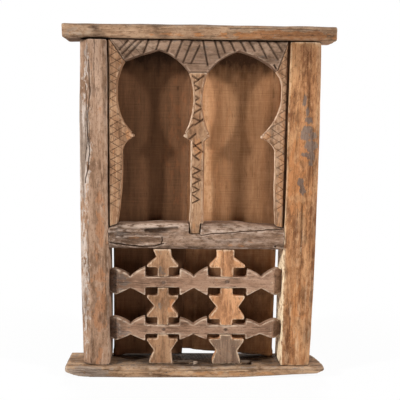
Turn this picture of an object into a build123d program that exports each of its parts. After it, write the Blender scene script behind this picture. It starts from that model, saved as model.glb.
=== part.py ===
from build123d import *
import os

# Hand-hewn timber window screen, in millimetres.
# X runs along the sill, +Y into the room behind the screen and +Z up.
# X = 0 is the middle of the opening and Z = 0 the underside of the sill.

# Fits: every let-in joint is loose by one of these
side_play = 0.3
end_play = 1.0

# Sill
sill_reach = 272.0
sill_depth = 80.8
sill_height = 24.0
sill_left_lift = 12.0
sill_left_rise_length = 50.0
sill_right_lift = 17.0
sill_right_rise_length = 66.0
sill_right_back_inset = 20.0
sill_right_shoulder_inset = 5.0
sill_wear_start = 60.0
sill_wear_height = 11.0
sill_wear_depth = 34.0
sill_arris = 3.0

# Top beam
beam_left_reach = 268.0
beam_right_reach = 272.0
beam_depth = 76.0
beam_height = 30.0
beam_overhang = 4.7
beam_arris = 4.0
beam_arris_depth = 2.8
beam_end_arris = 2.0

# Posts
opening_height = 668.0
left_opening_edge = 181.0
right_opening_edge = 180.5
post_setback = 8.0
post_depth = 69.0
left_post_width = 54.5
left_post_bulge = 4.0
left_post_facet_width = 18.0
left_post_facet_depth = 13.0
post_belly_share = 0.45
right_post_width = 62.5
right_post_bulge = 4.5
right_post_rounding = 12.0
post_tenon_thickness = 26.0
post_tenon_margin = 12.0
post_tenon_outer_margin = 18.5
sill_mortise_depth = 15.0
beam_mortise_depth = 18.0

# Middle rail, let into both posts
rail_underside = 271.5
rail_height = 54.5
rail_depth = 37.0
rail_top_rounding = 7.0
rail_bottom_rounding = 5.0
rail_tenon_length = 14.0
rail_tenon_height = 30.0
rail_tenon_thickness = 16.0

# Carved board: two jambs, the arch head and the colonnette
board_setback = 4.5
board_thickness = 24.0
board_side_gap = 2.5
board_tongue_thickness = 7.4
board_tongue_length = 6.0
board_groove_depth = 8.0
board_tongue_setback = 8.0
head_joint_play = 0.3
left_head_joint_inset = 3.0
right_head_joint_inset = 1.0
jamb_blank_spare = 6.0
jamb_knee_drop = 20.0
jamb_splay = 1.5
colonnette_splay = 4.0

# The twin horseshoe lights, as distances from the middle and heights
light_foot_reach = 163.5
light_foot_rise = 100.0
cusp_underside = 476.0
cusp_tip_reach = 130.0
cusp_height = 503.0
cusp_thickness = 6.0
cusp_root_drop = 9.0
lobe_height = 582.0
lobe_straight = 22.0
crown_height = 673.5
crown_reach = 79.0
collar_reach = 16.0
collar_height = 629.5
neck_reach = 6.0
neck_height = 580.0
shaft_reach = 10.5
shaft_foot_reach = 12.5
inner_cusp_root = 521.0
left_light_edge = 153.0
left_lobe_reach = 163.6
left_springer_reach = 147.4
left_springer_height = 652.0
left_crown_rise = 1.0
left_inner_cusp_reach = 29.0
right_light_edge = 159.5
right_lobe_reach = 169.3
right_springer_reach = 156.0
right_springer_height = 635.0
right_crown_rise = 6.0
right_inner_cusp_reach = 23.5

# How far each curve of a light swells away from the straight line between its ends
foot_hollow = 1.5
cusp_underside_swell = 3.0
lobe_low_swell = 7.0
lobe_low_drop = 6.0
springer_swell = 3.0
inner_crown_inset = 4.0
inner_crown_rise = 5.0

# Colonnette foot, housed in the front of the middle rail
foot_left = -14.5
foot_right = 6.0
foot_housing = 22.0
foot_side_gap = 1.5

# Lattice: two rails in front, two bars halved behind them
lattice_setback = 7.0
lattice_thickness = 18.0
lap_depth = 9.0
upper_rail_height = 201.3
upper_rail_band = 22.5
upper_bow_height = 57.0
upper_bow_waist = 24.0
lower_rail_height = 99.5
lower_rail_band = 20.0
lower_bow_height = 46.0
lower_bow_waist = 20.0
lower_bow_taper = 0.15
bow_horn = 3.2
bow_swell = 2.0
bow_shoulder_drop = 6.0
bow_shoulder_inset = 14.0
rail_end_pare_length = 22.0
lattice_tenon_thickness = 8.0
lattice_tenon_length = 12.0
left_bar_place = -68.5
left_bar_width = 22.5
left_bar_outer_star = 34.0
left_bar_inner_star = 31.5
left_bar_outer_waist = 18.5
left_bar_inner_waist = 17.5
left_bar_outer_top_waist = 14.0
left_bar_inner_top_waist = 17.0
left_bar_outer_neck = 22.0
left_bar_inner_neck = 15.0
left_bar_outer_foot = 28.5
left_bar_inner_foot = 20.0
right_bar_place = 64.0
right_bar_width = 26.0
right_bar_outer_star = 38.5
right_bar_inner_star = 36.5
right_bar_outer_waist = 24.5
right_bar_inner_waist = 19.5
right_bar_outer_top_waist = 14.0
right_bar_inner_top_waist = 21.0
right_bar_outer_neck = 15.0
right_bar_inner_neck = 23.0
right_bar_outer_foot = 31.0
right_bar_inner_foot = 28.0
bow_to_star_gap = 3.0
crossing_spare = 6.0
star_above_upper_rail = 31.3
star_below_upper_rail = 28.5
left_star_above_lower_rail = 26.5
right_star_above_lower_rail = 22.5
star_below_lower_rail = 20.3
star_tip_thickness = 4.0
bar_tenon_margin = 2.0
bar_tenon_length = 11.0
bar_foot_tenon_length = 9.0

# Shutter leaves, turning on pintles cut from the board
leaf_setback = 51.0
leaf_thickness = 18.0
left_leaf_low_gap = 5.5
left_leaf_high_gap = 6.5
right_leaf_low_gap = 11.0
right_leaf_high_gap = 4.0
leaf_edge_rounding = 6.0
pintle_inset = 8.0
leaf_top_clearance = 5.0
meeting_line_top = -12.0
meeting_line_bottom = -26.0
leaf_lap = 8.0
leaf_lap_step = 6.0
leaf_lap_strip = 20.0
leaf_play = 0.5
left_leaf_heel_rise = 3.0
left_leaf_toe_rise = 4.0
right_leaf_heel_rise = 2.5
right_leaf_toe_rise = 15.5
heel_reach = 24.0
heel_height = 12.0
heel_swell = 2.0
pintle_radius = 6.5
pintle_length = 10.0
pintle_play = 0.4

# Old mortises left open in the top of the sill
old_mortise_depth = 9.0
old_mortise_width = 17.0
old_mortise_long_place = -25.5
old_mortise_long_length = 46.0
old_mortise_short_place = 109.0
old_mortise_short_length = 24.0
old_mortise_setback = 16.0

# Faces that the sizes above place
sill_front = -sill_depth / 2
post_front = sill_front + post_setback
post_middle = post_front + post_depth / 2
beam_front = post_front - beam_overhang
beam_underside = sill_height + opening_height
beam_top = beam_underside + beam_height
board_front = post_front + board_setback
tongue_front = board_front + board_tongue_setback
rail_top = rail_underside + rail_height
lattice_front = post_front + lattice_setback
lattice_back = lattice_front + lattice_thickness
leaf_front = post_front + leaf_setback
pintle_depth = leaf_front + leaf_thickness / 2
left_pintle = -left_opening_edge + max(left_leaf_low_gap, left_leaf_high_gap) + pintle_inset
right_pintle = right_opening_edge - max(right_leaf_low_gap, right_leaf_high_gap) - pintle_inset


def front_plane(depth):
    """Vertical plane that faces the viewer, at one depth behind the origin."""
    return Plane.XZ.offset(-depth)


def block(left, right, front, back, low, high, mode=Mode.ADD):
    """Squared timber between six faces, made in the part that is being built."""
    with Locations(((left + right) / 2, (front + back) / 2, (low + high) / 2)):
        Box(right - left, back - front, high - low, mode=mode)


def post_tenon(side, edge, width, play, extra, mode=Mode.ADD):
    """Tenon at both ends of a post, or the mortise for it when it has play."""
    inner = edge + post_tenon_margin - play
    outer = edge + width - post_tenon_outer_margin + play
    left = min(side * inner, side * outer)
    right = max(side * inner, side * outer)
    front = post_middle - post_tenon_thickness / 2 - play
    back = post_middle + post_tenon_thickness / 2 + play
    low = sill_height - sill_mortise_depth + end_play - extra
    high = beam_underside + beam_mortise_depth - end_play + extra
    if mode == Mode.ADD:
        block(left, right, front, back, low, sill_height, mode)
        block(left, right, front, back, beam_underside, high, mode)
    else:
        block(left, right, front, back, low, high, mode)


def post_outline(side, edge, width, bulge):
    """Front view of a post: straight inside, gently bellied outside."""
    inner = side * edge
    outer = side * (edge + width)
    belly = (outer + side * bulge, sill_height + opening_height * post_belly_share)
    with BuildSketch(front_plane(post_front)) as outline:
        with BuildLine():
            Line((inner, sill_height), (inner, beam_underside))
            Line((inner, beam_underside), (outer, beam_underside))
            ThreePointArc((outer, beam_underside), belly, (outer, sill_height))
            Line((outer, sill_height), (inner, sill_height))
        make_face()
    return outline.sketch


def light_shape(side, edge, lobe, springer, crown_rise, inner_cusp, depth, splay):
    """One light at one depth, from the jamb's foot over the arch to the colonnette."""
    jamb = jamb_splay * splay
    shaft = colonnette_splay * splay
    foot = (side * (light_foot_reach - jamb), rail_top)
    edge_low = (side * (edge - jamb), rail_top + light_foot_rise)
    edge_high = (side * (edge - jamb), cusp_underside)
    tip_low = (side * (cusp_tip_reach - jamb), cusp_height - cusp_thickness / 2)
    tip_high = (side * (cusp_tip_reach - jamb), cusp_height + cusp_thickness / 2)
    lobe_low = (side * (lobe - jamb), lobe_height)
    lobe_high = (side * (lobe - jamb), lobe_height + lobe_straight)
    spring = (side * (springer[0] - jamb), springer[1] - jamb)
    crown = (side * crown_reach, crown_height - jamb)
    collar = (side * (collar_reach + shaft), collar_height)
    neck = (side * (neck_reach + shaft), neck_height)
    root = (side * ((neck_reach + inner_cusp) / 2 + shaft), inner_cusp_root)
    inner_tip = (side * (inner_cusp + jamb), cusp_height)
    shaft_high = (side * (shaft_reach + shaft), cusp_height - cusp_root_drop)
    shaft_low = (side * (shaft_reach + shaft), rail_top + light_foot_rise / 3)
    shaft_foot = (side * (shaft_foot_reach + shaft), rail_top)

    def between(start, end, across, up):
        """Point half way between two others, moved outwards and upwards."""
        return ((start[0] + end[0]) / 2 + side * across, (start[1] + end[1]) / 2 + up)

    with BuildSketch(front_plane(depth)) as light:
        with BuildLine():
            ThreePointArc(foot, between(foot, edge_low, -foot_hollow, 0), edge_low)
            Line(edge_low, edge_high)
            ThreePointArc(edge_high, between(edge_high, tip_low, cusp_underside_swell,
                                             cusp_underside_swell), tip_low)
            Line(tip_low, tip_high)
            ThreePointArc(tip_high, between(tip_high, lobe_low, lobe_low_swell, -lobe_low_drop),
                          lobe_low)
            Line(lobe_low, lobe_high)
            ThreePointArc(lobe_high, between(lobe_high, spring, springer_swell, 0), spring)
            ThreePointArc(spring, between(spring, crown, 0, crown_rise), crown)
            ThreePointArc(crown, between(crown, collar, -inner_crown_inset, inner_crown_rise), collar)
            ThreePointArc(collar, neck, root)
            Line(root, inner_tip)
            Line(inner_tip, shaft_high)
            Line(shaft_high, shaft_low)
            Line(shaft_low, shaft_foot)
            Line(shaft_foot, foot)
        make_face()
    return light.sketch


def cut_light(side, edge, lobe, springer, crown_rise, inner_cusp):
    """Cut one splayed light out of the piece of board that is being built."""
    sections = [light_shape(side, edge, lobe, springer, crown_rise, inner_cusp, depth, splay)
                for depth, splay in ((board_front, 0), (board_front + board_thickness, 1))]
    loft([section.face() for section in sections], ruled=True, mode=Mode.SUBTRACT)


def cut_lights():
    """Cut both lights out of the piece of board that is being built."""
    cut_light(-1, left_light_edge, left_lobe_reach, (left_springer_reach, left_springer_height),
              left_crown_rise, left_inner_cusp_reach)
    cut_light(1, right_light_edge, right_lobe_reach, (right_springer_reach, right_springer_height),
              right_crown_rise, right_inner_cusp_reach)


def joint_foot(springer_reach, springer_height, top_reach, height):
    """Distance from the middle at which a head joint passes one height."""
    slope = (top_reach - springer_reach) / (beam_underside - springer_height)
    return springer_reach + slope * (height - springer_height)


def head_joint(side, height):
    """X of the slanting joint between the arch head and one jamb."""
    if side < 0:
        edge = left_opening_edge - board_side_gap - left_head_joint_inset
        return -joint_foot(left_springer_reach, left_springer_height, edge, height)
    edge = right_opening_edge - board_side_gap - right_head_joint_inset
    return joint_foot(right_springer_reach, right_springer_height, edge, height)


def jamb_shape(side, edge):
    """Front view of a jamb's blank, up to its joint with the arch head."""
    outer = side * (edge - board_side_gap)
    inner = side * (cusp_tip_reach - jamb_blank_spare)
    knee = collar_height - jamb_knee_drop
    play = side * head_joint_play
    with BuildSketch(front_plane(board_front)) as blank:
        with BuildLine():
            Polyline((outer, rail_top), (inner, rail_top), (inner, knee),
                     (head_joint(side, knee) + play, knee),
                     (head_joint(side, beam_underside) + play, beam_underside),
                     (outer, beam_underside), close=True)
        make_face()
    return blank.sketch


def bow_rail_outline(middle, band, bow, waist, taper):
    """Front view of a lattice rail: a bow in each bay and a narrow band between.
    The bows have swelling upper edges, stand up more at their right ends, and may
    get lower from left to right."""
    bays = [(-left_opening_edge, left_bar_place - left_bar_outer_star - bow_to_star_gap),
            (left_bar_place + left_bar_inner_star + bow_to_star_gap,
             right_bar_place - right_bar_inner_star - bow_to_star_gap),
            (right_bar_place + right_bar_outer_star + bow_to_star_gap, right_opening_edge)]

    def reach(x, height):
        """Half height of the rail at one place, with its taper."""
        return height / 2 * (1 - taper * x / right_opening_edge)

    def bow_side(start, end, first, last, horn):
        """Points along one side of a bow, from its left end over its waist to its right end."""
        left = start + bow_shoulder_inset if first else start
        right = end - bow_shoulder_inset if last else end
        valley = (left + right) / 2
        points = [(left, reach(left, bow)), (valley, reach(valley, waist)),
                  (right, reach(right, bow) + horn)]
        if first:
            points.insert(0, (start, reach(start, bow) - bow_shoulder_drop))
        if last:
            points.append((end, reach(end, bow) - bow_shoulder_drop))
        return points

    with BuildSketch(front_plane(lattice_front)) as outline:
        for number, (start, end) in enumerate(bays):
            first = number == 0
            last = number == len(bays) - 1
            over = [(x, middle + z) for x, z in bow_side(start, end, first, last, bow_horn)]
            under = [(x, middle - z) for x, z in bow_side(start, end, first, last, 0)]
            with BuildLine():
                for low, high in zip(over[:-1], over[1:]):
                    crest = ((low[0] + high[0]) / 2, (low[1] + high[1]) / 2 + bow_swell)
                    ThreePointArc(low, crest, high)
                Line(over[-1], under[-1])
                Polyline(list(reversed(under)))
                Line(under[0], over[0])
            make_face()
        with Locations(((right_opening_edge - left_opening_edge) / 2, middle)):
            Rectangle(left_opening_edge + right_opening_edge, band * (1 - taper))
        for place, outer, inner in ((left_bar_place, left_bar_outer_star, left_bar_inner_star),
                                    (right_bar_place, right_bar_outer_star, right_bar_inner_star)):
            with Locations((place, middle)):
                Rectangle(2 * (max(outer, inner) + crossing_spare), band)
    return outline.sketch


def build_bow_rail(middle, band, bow, waist, taper):
    """Cut one lattice rail, with pared ends, tenons and laps for the two bars."""
    extrude(bow_rail_outline(middle, band, bow, waist, taper), amount=-lattice_thickness)
    tenon_front = lattice_back - lattice_tenon_thickness
    with BuildSketch(Plane.XY.offset(middle - bow)) as pared_ends:
        for side, edge in ((-1, left_opening_edge), (1, right_opening_edge)):
            with BuildLine():
                Polyline((side * edge, lattice_front),
                         (side * (edge - rail_end_pare_length), lattice_front),
                         (side * edge, tenon_front), close=True)
            make_face()
    extrude(pared_ends.sketch, amount=bow * 2, mode=Mode.SUBTRACT)
    block(-left_opening_edge - lattice_tenon_length, right_opening_edge + lattice_tenon_length,
          tenon_front, lattice_back, middle - waist / 2, middle + waist / 2)
    for place, width in ((left_bar_place, left_bar_width), (right_bar_place, right_bar_width)):
        block(place - width / 2 - side_play, place + width / 2 + side_play,
              lattice_back - lap_depth, lattice_back, middle - bow / 2, middle + bow / 2,
              Mode.SUBTRACT)


def star_bar_side(width, foot, waist, star, top_waist, neck, above_lower_rail):
    """One side of a lattice bar: distances from its centre line, from the foot up."""
    low_under = lower_rail_height - star_below_lower_rail
    low_over = lower_rail_height + above_lower_rail
    high_under = upper_rail_height - star_below_upper_rail
    high_over = upper_rail_height + star_above_upper_rail
    foot_waist = (sill_height + low_under) / 2 + star_tip_thickness / 2
    star_waist = (low_over + high_under) / 2
    top_waist_height = (high_over + star_tip_thickness + rail_underside) / 2
    return [(foot, sill_height), (foot, sill_height + star_tip_thickness * 2),
            (waist, foot_waist),
            (star, low_under - star_tip_thickness), (star, low_under),
            (width / 2, low_under), (width / 2, low_over),
            (star, low_over), (star, low_over + star_tip_thickness),
            (waist, star_waist),
            (star, high_under - star_tip_thickness), (star, high_under),
            (width / 2, high_under), (width / 2, high_over),
            (star, high_over), (star, high_over + star_tip_thickness),
            (top_waist, top_waist_height), (neck, rail_underside)]


def build_star_bar(place, width, left_side, right_side):
    """Cut one lattice bar, with tenons at both ends and laps for the two rails."""
    outline = [(place - x, z) for x, z in left_side]
    outline += [(place + x, z) for x, z in reversed(right_side)]
    with BuildSketch(front_plane(lattice_front)) as bar:
        with BuildLine():
            Polyline(outline, close=True)
        make_face()
    extrude(bar.sketch, amount=-lattice_thickness)
    half_tenon = width / 2 - bar_tenon_margin
    block(place - half_tenon, place + half_tenon, lattice_back - lattice_tenon_thickness,
          lattice_back, sill_height - bar_foot_tenon_length, rail_underside + bar_tenon_length)
    for middle, band in ((upper_rail_height, upper_rail_band), (lower_rail_height, lower_rail_band)):
        block(place - width, place + width, lattice_front, lattice_back - lap_depth,
              middle - band / 2 - side_play, middle + band / 2 + side_play, Mode.SUBTRACT)


def meeting_line(height):
    """X of the line where the two leaves meet, which leans to the left going down."""
    fall = (height - sill_height) / opening_height
    return meeting_line_bottom + fall * (meeting_line_top - meeting_line_bottom)


def build_leaf(side, pintle, edge_low, edge_high, heel_rise, toe_rise, reach):
    """Cut one leaf: a board whose hanging edge is worn round and may lean a little."""
    top = beam_underside - leaf_top_clearance
    bottom = sill_height + heel_rise
    toe = sill_height + toe_rise
    with BuildSketch(front_plane(leaf_front)) as outline:
        with BuildLine():
            Polyline((edge_low, bottom), (edge_low - side * heel_reach, bottom),
                     (meeting_line(toe) + reach, toe), (meeting_line(top) + reach, top),
                     (edge_high, top), close=True)
        make_face()
    board = extrude(outline.sketch, amount=-leaf_thickness)
    hanging_face = board.faces().sort_by(Axis.X)[0 if side < 0 else -1]
    long_edges = hanging_face.edges().sort_by(SortBy.LENGTH)[-2:]
    fillet(long_edges, radius=leaf_edge_rounding)
    heel = sill_height + side_play
    upright(pintle, leaf_thickness / 2 + heel_swell, heel, heel + heel_height)
    upright(pintle, pintle_radius, sill_height - pintle_length, beam_underside + pintle_length)


def meeting_strip(depth, before, after):
    """Strip of a leaf's front view that leans with the meeting line."""
    low = sill_height
    high = beam_underside
    with BuildSketch(front_plane(depth)) as strip:
        with BuildLine():
            Polyline((meeting_line(low) - before, low), (meeting_line(low) + after, low),
                     (meeting_line(high) + after, high), (meeting_line(high) - before, high),
                     close=True)
        make_face()
    return strip.sketch


def upright(place, radius, low, high, mode=Mode.ADD):
    """Round upright stretch on one of the two pintle axes."""
    with Locations((place, pintle_depth, (low + high) / 2)):
        Cylinder(radius, high - low, mode=mode)


def cut_pintle_sockets(low, high):
    """Round sockets for the pins of both leaves between two heights."""
    for pintle in (left_pintle, right_pintle):
        upright(pintle, pintle_radius + pintle_play, low, high, Mode.SUBTRACT)


def cut_post_mortises(side, edge):
    """Mortises and the groove in the inner face of one post."""
    inner = side * edge

    def pocket(depth, front, back, low, high):
        left = min(inner, inner + side * depth)
        right = max(inner, inner + side * depth)
        block(left, right, front, back, low, high, Mode.SUBTRACT)

    rail_middle = rail_underside + rail_height / 2
    rail_front = post_front + (rail_depth - rail_tenon_thickness) / 2
    pocket(rail_tenon_length + end_play, rail_front - side_play,
           rail_front + rail_tenon_thickness + side_play,
           rail_middle - rail_tenon_height / 2 - side_play,
           rail_middle + rail_tenon_height / 2 + side_play)
    for middle, waist in ((upper_rail_height, upper_bow_waist), (lower_rail_height, lower_bow_waist)):
        pocket(lattice_tenon_length + end_play,
               lattice_back - lattice_tenon_thickness - side_play, lattice_back + side_play,
               middle - waist / 2 - side_play, middle + waist / 2 + side_play)
    pocket(board_groove_depth, tongue_front - side_play,
           tongue_front + board_tongue_thickness + side_play, rail_top, beam_underside)


# Sill: boat-shaped plank that carries the posts, worn away under its front
with BuildPart() as sill:
    with BuildSketch(front_plane(sill_front)):
        with BuildLine():
            left_turn = (-sill_reach + sill_left_rise_length, 0)
            left_end = (-sill_reach, sill_left_lift)
            right_turn = (sill_reach - sill_right_rise_length, 0)
            right_end = (sill_reach, sill_right_lift)
            Line(left_turn, right_turn)
            TangentArc(right_turn, right_end, tangent=(1, 0))
            Line(right_end, (sill_reach, sill_height))
            Line((sill_reach, sill_height), (-sill_reach, sill_height))
            Line((-sill_reach, sill_height), left_end)
            TangentArc(left_turn, left_end, tangent=(-1, 0))
        make_face()
    extrude(amount=-sill_depth)
    top_arrises = sill.faces().sort_by(Axis.Z)[-1].outer_wire().edges().filter_by(Axis.X)
    chamfer(top_arrises.sort_by(Axis.Y)[0], length=sill_arris)
    with BuildSketch():
        with BuildLine():
            nose = (sill_reach, sill_front)
            back_end = (sill_reach - sill_right_back_inset, -sill_front)
            shoulder = (sill_reach - sill_right_shoulder_inset, 0)
            ThreePointArc(nose, shoulder, back_end)
            Polyline(back_end, (sill_reach, -sill_front), nose)
        make_face()
    extrude(amount=sill_height, mode=Mode.SUBTRACT)
    wear_corner = Vector(sill_wear_start, sill_front, 0)
    wear_end = Vector(sill_reach, sill_front, sill_wear_height)
    wear_back = Vector(sill_reach, sill_front + sill_wear_depth, 0)
    wear_normal = (wear_end - wear_corner).cross(wear_back - wear_corner)
    split(bisect_by=Plane(origin=wear_corner, z_dir=wear_normal), keep=Keep.TOP)
    post_tenon(-1, left_opening_edge, left_post_width, side_play, end_play, Mode.SUBTRACT)
    post_tenon(1, right_opening_edge, right_post_width, side_play, end_play, Mode.SUBTRACT)
    for bar_place, bar_width in ((left_bar_place, left_bar_width), (right_bar_place, right_bar_width)):
        bar_half = bar_width / 2 - bar_tenon_margin + side_play
        block(bar_place - bar_half, bar_place + bar_half,
              lattice_back - lattice_tenon_thickness - side_play, lattice_back + side_play,
              sill_height - bar_foot_tenon_length - end_play, sill_height, Mode.SUBTRACT)
    cut_pintle_sockets(sill_height - pintle_length - end_play, sill_height)
    for slot_place, slot_length in ((old_mortise_long_place, old_mortise_long_length),
                                    (old_mortise_short_place, old_mortise_short_length)):
        slot_front = sill_front + old_mortise_setback
        block(slot_place - slot_length / 2, slot_place + slot_length / 2,
              slot_front, slot_front + old_mortise_width,
              sill_height - old_mortise_depth, sill_height, Mode.SUBTRACT)

# Top beam: plain hewn timber that ties the two posts
with BuildPart() as top_beam:
    block(-beam_left_reach, beam_right_reach, beam_front, beam_front + beam_depth,
          beam_underside, beam_top)
    chamfer(top_beam.edges().filter_by(Axis.X), length=beam_arris, length2=beam_arris_depth)
    chamfer(top_beam.edges().filter_by(Axis.Y), length=beam_end_arris)
    post_tenon(-1, left_opening_edge, left_post_width, side_play, end_play, Mode.SUBTRACT)
    post_tenon(1, right_opening_edge, right_post_width, side_play, end_play, Mode.SUBTRACT)
    block(-left_opening_edge, right_opening_edge, tongue_front - side_play,
          tongue_front + board_tongue_thickness + side_play,
          beam_underside, beam_underside + board_groove_depth, Mode.SUBTRACT)
    cut_pintle_sockets(beam_underside, beam_underside + pintle_length + end_play)

# Left post: bellied outside, with one long hewn facet on its outer front corner
with BuildPart() as left_post:
    extrude(post_outline(-1, left_opening_edge, left_post_width, left_post_bulge),
            amount=-post_depth)
    outer_face = left_post.faces().sort_by(Axis.X)[0]
    front_corner = outer_face.edges().sort_by(Axis.Y)[0]
    chamfer(front_corner, length=left_post_facet_depth, length2=left_post_facet_width,
            reference=outer_face)
    post_tenon(-1, left_opening_edge, left_post_width, 0, 0)
    cut_post_mortises(-1, left_opening_edge)

# Right post: wider, with its outer front corner worn round
with BuildPart() as right_post:
    extrude(post_outline(1, right_opening_edge, right_post_width, right_post_bulge),
            amount=-post_depth)
    outer_face = right_post.faces().sort_by(Axis.X)[-1]
    fillet(outer_face.edges().sort_by(Axis.Y)[0], radius=right_post_rounding)
    post_tenon(1, right_opening_edge, right_post_width, 0, 0)
    cut_post_mortises(1, right_opening_edge)

# Middle rail: carries the carved board and holds the lattice bars' tops
with BuildPart() as mid_rail:
    block(-left_opening_edge, right_opening_edge, post_front, post_front + rail_depth,
          rail_underside, rail_top)
    front_edges = mid_rail.edges().filter_by(Axis.X).group_by(Axis.Y)[0]
    fillet(front_edges.sort_by(Axis.Z)[-1], radius=rail_top_rounding)
    front_edges = mid_rail.edges().filter_by(Axis.X).group_by(Axis.Y)[0]
    fillet(front_edges.sort_by(Axis.Z)[0], radius=rail_bottom_rounding)
    tenon_setback = (rail_depth - rail_tenon_thickness) / 2
    tenon_margin = (rail_height - rail_tenon_height) / 2
    block(-left_opening_edge - rail_tenon_length, right_opening_edge + rail_tenon_length,
          post_front + tenon_setback, post_front + tenon_setback + rail_tenon_thickness,
          rail_underside + tenon_margin, rail_top - tenon_margin)
    block(foot_left - foot_side_gap, foot_right + foot_side_gap,
          post_front, board_front + board_thickness + side_play,
          rail_top - foot_housing, rail_top, Mode.SUBTRACT)
    for bar_place, bar_width in ((left_bar_place, left_bar_width), (right_bar_place, right_bar_width)):
        bar_half = bar_width / 2 - bar_tenon_margin + side_play
        block(bar_place - bar_half, bar_place + bar_half,
              lattice_back - lattice_tenon_thickness - side_play, lattice_back + side_play,
              rail_underside, rail_underside + bar_tenon_length + end_play, Mode.SUBTRACT)

# Left jamb of the carved board, with a tongue in the post's groove
with BuildPart() as left_jamb:
    extrude(jamb_shape(-1, left_opening_edge), amount=-board_thickness)
    cut_lights()
    block(-left_opening_edge - board_tongue_length, -left_opening_edge + board_side_gap,
          tongue_front, tongue_front + board_tongue_thickness, rail_top, beam_underside)

# Right jamb of the carved board
with BuildPart() as right_jamb:
    extrude(jamb_shape(1, right_opening_edge), amount=-board_thickness)
    cut_lights()
    block(right_opening_edge - board_side_gap, right_opening_edge + board_tongue_length,
          tongue_front, tongue_front + board_tongue_thickness, rail_top, beam_underside)

# Arch head: both arches and the cap of the colonnette in one board
with BuildPart() as arch_head:
    with BuildSketch(front_plane(board_front)):
        with BuildLine():
            Polyline((head_joint(-1, beam_underside), beam_underside),
                     (head_joint(-1, collar_height), collar_height),
                     (head_joint(1, collar_height), collar_height),
                     (head_joint(1, beam_underside), beam_underside), close=True)
        make_face()
    extrude(amount=-board_thickness)
    cut_lights()
    block(head_joint(-1, beam_underside), head_joint(1, beam_underside),
          tongue_front, tongue_front + board_tongue_thickness,
          beam_underside, beam_underside + board_tongue_length)

# Colonnette between the lights, with a cusp on each side and a housed foot
with BuildPart() as colonnette:
    block(-left_inner_cusp_reach - jamb_splay, right_inner_cusp_reach + jamb_splay,
          board_front, board_front + board_thickness, rail_top, collar_height)
    cut_lights()
    block(foot_left, foot_right, board_front, board_front + board_thickness,
          rail_top - foot_housing, rail_top)

# Lattice rails, which cross in front of the bars
with BuildPart() as lattice_rail_upper:
    build_bow_rail(upper_rail_height, upper_rail_band, upper_bow_height, upper_bow_waist, 0)

with BuildPart() as lattice_rail_lower:
    build_bow_rail(lower_rail_height, lower_rail_band, lower_bow_height, lower_bow_waist,
                   lower_bow_taper)

# Lattice bars, halved behind the rails
with BuildPart() as lattice_bar_left:
    outer_side = star_bar_side(left_bar_width, left_bar_outer_foot, left_bar_outer_waist,
                               left_bar_outer_star, left_bar_outer_top_waist,
                               left_bar_outer_neck, left_star_above_lower_rail)
    inner_side = star_bar_side(left_bar_width, left_bar_inner_foot, left_bar_inner_waist,
                               left_bar_inner_star, left_bar_inner_top_waist,
                               left_bar_inner_neck, left_star_above_lower_rail)
    build_star_bar(left_bar_place, left_bar_width, outer_side, inner_side)

with BuildPart() as lattice_bar_right:
    inner_side = star_bar_side(right_bar_width, right_bar_inner_foot, right_bar_inner_waist,
                               right_bar_inner_star, right_bar_inner_top_waist,
                               right_bar_inner_neck, right_star_above_lower_rail)
    outer_side = star_bar_side(right_bar_width, right_bar_outer_foot, right_bar_outer_waist,
                               right_bar_outer_star, right_bar_outer_top_waist,
                               right_bar_outer_neck, right_star_above_lower_rail)
    build_star_bar(right_bar_place, right_bar_width, inner_side, outer_side)

# Left shutter leaf, whose meeting edge laps in front of the right one
with BuildPart() as left_shutter:
    build_leaf(-1, left_pintle, -left_opening_edge + left_leaf_low_gap,
               -left_opening_edge + left_leaf_high_gap, left_leaf_heel_rise, left_leaf_toe_rise, 0)
    extrude(meeting_strip(leaf_front + leaf_lap_step, leaf_lap + leaf_play, leaf_lap),
            amount=-leaf_thickness, mode=Mode.SUBTRACT)

# Right shutter leaf, with a sunk strip along its meeting edge
with BuildPart() as right_shutter:
    build_leaf(1, right_pintle, right_opening_edge - right_leaf_low_gap,
               right_opening_edge - right_leaf_high_gap, right_leaf_heel_rise, right_leaf_toe_rise,
               -leaf_lap)
    extrude(meeting_strip(leaf_front, leaf_lap * 2, leaf_lap_strip),
            amount=-leaf_lap_step - leaf_play, mode=Mode.SUBTRACT)

pieces = {
    "sill": sill,
    "top_beam": top_beam,
    "left_post": left_post,
    "right_post": right_post,
    "mid_rail": mid_rail,
    "left_jamb": left_jamb,
    "right_jamb": right_jamb,
    "arch_head": arch_head,
    "colonnette": colonnette,
    "lattice_rail_upper": lattice_rail_upper,
    "lattice_rail_lower": lattice_rail_lower,
    "lattice_bar_left": lattice_bar_left,
    "lattice_bar_right": lattice_bar_right,
    "left_shutter": left_shutter,
    "right_shutter": right_shutter,
}

os.makedirs("parts", exist_ok=True)
for name, piece in pieces.items():
    piece.part.label = name
    export_step(piece.part, f"parts/{name}.step")
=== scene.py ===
import math
import bmesh
import bpy
import numpy as np
from mathutils import Matrix, Vector


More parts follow.
